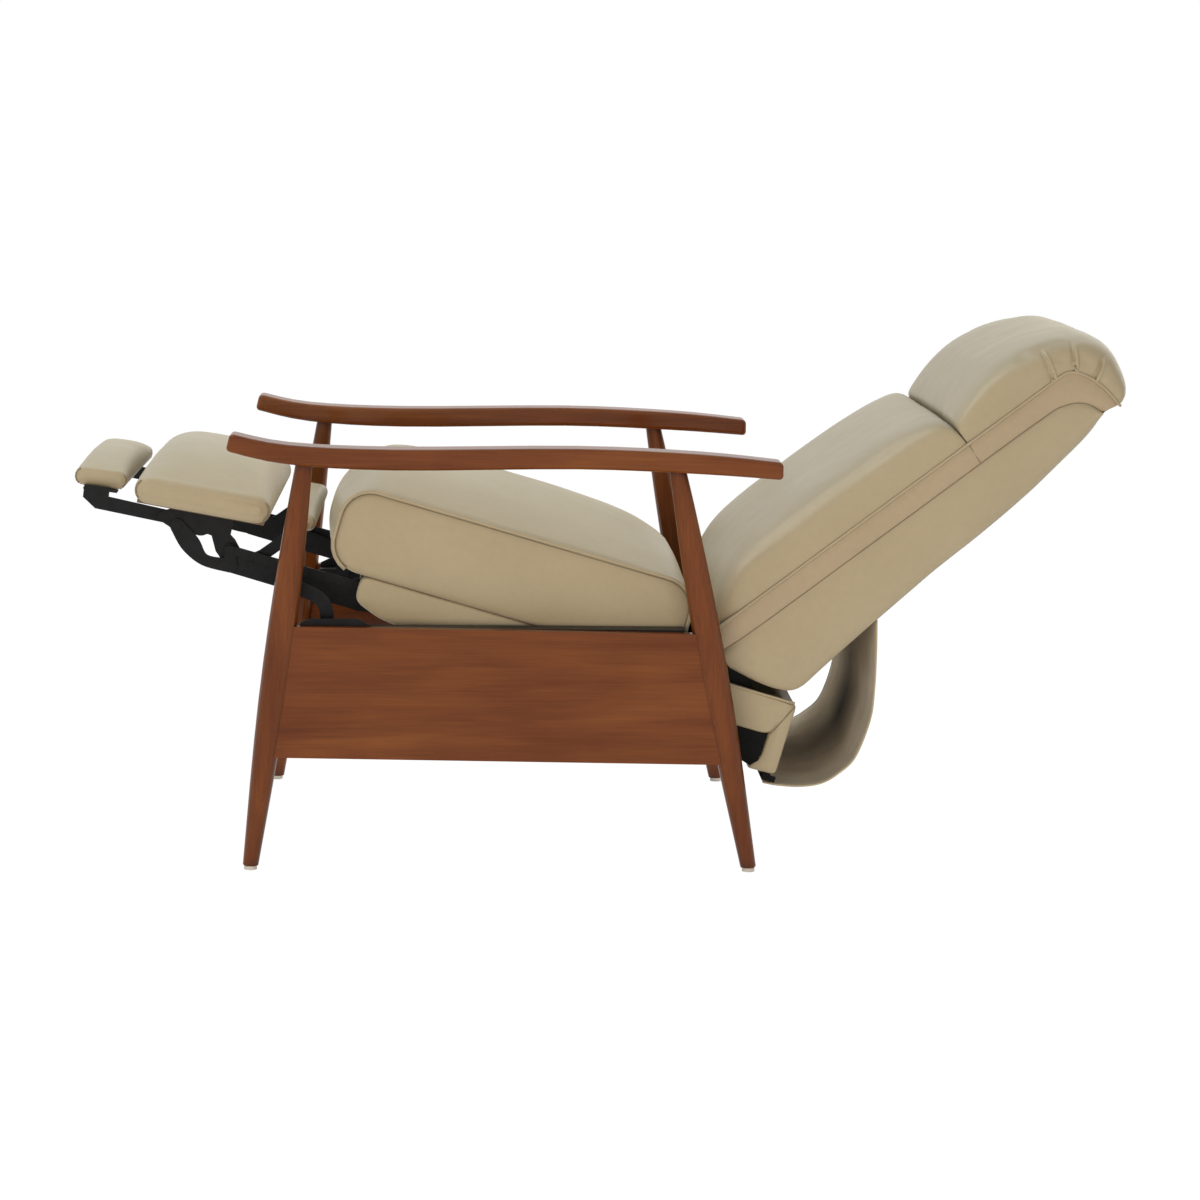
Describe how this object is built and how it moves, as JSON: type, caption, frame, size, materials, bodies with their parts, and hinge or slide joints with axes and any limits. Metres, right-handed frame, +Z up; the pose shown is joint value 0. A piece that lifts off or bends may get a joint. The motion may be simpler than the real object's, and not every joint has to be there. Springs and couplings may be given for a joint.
{
  "type": "recliner",
  "caption": "Wooden open-arm recliner with leather cushions, a gathered head pillow, a tilting seat and back, and a folding footrest on a steel linkage.",
  "frame": {"origin": "on the floor under the middle of the reclined chair", "axes": "+X from the footrest to the head end, +Y to the sitter's right, +Z up"},
  "size_m": [1.5566, 0.72, 0.8041],
  "materials": {
    "lacquered_wood": "glossy reddish brown lacquer",
    "plywood": "bare",
    "beige_leather": "smooth beige, slight sheen",
    "leather_flesh_side": "matt inner side",
    "black_steel": "satin black",
    "white_plastic": "matt off-white"
  },
  "bodies": {
    "frame": {"arm_left": "lacquered_wood", "leg_front_left": "lacquered_wood", "leg_rear_left": "lacquered_wood", "glide_front_left": "white_plastic", "glide_rear_left": "white_plastic", "side_panel_left": "lacquered_wood", "base_rail_left": "black_steel", "pivot_bracket_left": "black_steel", "front_stop_left": "black_steel", "arm_right": "lacquered_wood", "leg_front_right": "lacquered_wood", "leg_rear_right": "lacquered_wood", "glide_front_right": "white_plastic", "glide_rear_right": "white_plastic", "side_panel_right": "lacquered_wood", "base_rail_right": "black_steel", "pivot_bracket_right": "black_steel", "front_stop_right": "black_steel", "front_rail": "lacquered_wood", "rear_rail": "lacquered_wood", "pivot_tube": "black_steel"},
    "seat": {"seat_cushion": "beige_leather", "seat_side_left": "beige_leather", "seat_side_right": "beige_leather", "seat_front_rail": "plywood", "seat_rear_rail": "beige_leather", "seat_deck": "plywood", "seat_plate_left": "black_steel", "seat_plate_right": "black_steel", "sling": "leather_flesh_side"},
    "back": {"back_shell": "beige_leather", "back_cushion": "beige_leather", "head_pillow": "beige_leather", "back_bracket_left": "black_steel", "back_bracket_right": "black_steel"},
    "main_links": {"main_link_left": "black_steel", "main_link_right": "black_steel"},
    "control_links": {"control_link_left": "black_steel", "control_link_right": "black_steel"},
    "lift_links": {"lift_link_left": "black_steel", "lift_link_right": "black_steel", "filler_board": "plywood", "filler_pad": "beige_leather"},
    "parallel_links": {"parallel_link_left": "black_steel", "parallel_link_right": "black_steel"},
    "footrest": {"footrest_bracket_left": "black_steel", "footrest_bracket_right": "black_steel", "footrest_board": "plywood", "footrest_pad": "beige_leather"},
    "flap": {"flap_arm_left": "black_steel", "flap_arm_right": "black_steel", "flap_board": "plywood", "flap_pad": "beige_leather"}
  },
  "joints": [
    {"name": "recline", "type": "hinge", "parent": "frame", "child": "seat", "pos_m": [-0.04056, 0, 0.255], "axis": [0, -1, 0], "range_deg": [0, 9]},
    {"name": "back_recline", "type": "hinge", "parent": "seat", "child": "back", "pos_m": [0.19445, 0, 0.325], "axis": [0, -1, 0], "range_deg": [0, 24.01], "deforming": ["sling"]},
    {"name": "footrest_fold", "type": "hinge", "parent": "seat", "child": "main_links", "pos_m": [-0.35556, 0, 0.385], "axis": [0, -1, 0], "range_deg": [0, 120]},
    {"name": "control_turn", "type": "hinge", "parent": "seat", "child": "control_links", "pos_m": [-0.35556, 0, 0.409], "axis": [0, -1, 0], "range_deg": [0, 120.01]},
    {"name": "lift_turn", "type": "hinge", "parent": "main_links", "child": "lift_links", "pos_m": [-0.51555, 0, 0.44], "axis": [0, -1, 0], "range_deg": [-120.01, 0]},
    {"name": "parallel_turn", "type": "hinge", "parent": "main_links", "child": "parallel_links", "pos_m": [-0.54556, 0, 0.438], "axis": [0, -1, 0], "range_deg": [-113.31, 0]},
    {"name": "footrest_tilt", "type": "hinge", "parent": "lift_links", "child": "footrest", "pos_m": [-0.58956, 0, 0.499], "axis": [0, -1, 0], "range_deg": [0, 96.01]},
    {"name": "flap_flip", "type": "hinge", "parent": "footrest", "child": "flap", "pos_m": [-0.64355, 0, 0.51], "axis": [0, -1, 0], "range_deg": [0, 180.01]}
  ],
  "couplings": [
    {"joint": "back_recline", "follows": "recline", "ratio": 2.6667},
    {"joint": "control_turn", "follows": "footrest_fold", "ratio": 1},
    {"joint": "lift_turn", "follows": "footrest_fold", "ratio": -1},
    {"joint": "parallel_turn", "follows": "footrest_fold", "ratio": -0.94417},
    {"joint": "footrest_tilt", "follows": "footrest_fold", "ratio": 0.8},
    {"joint": "flap_flip", "follows": "footrest_fold", "ratio": 1.5}
  ]
}
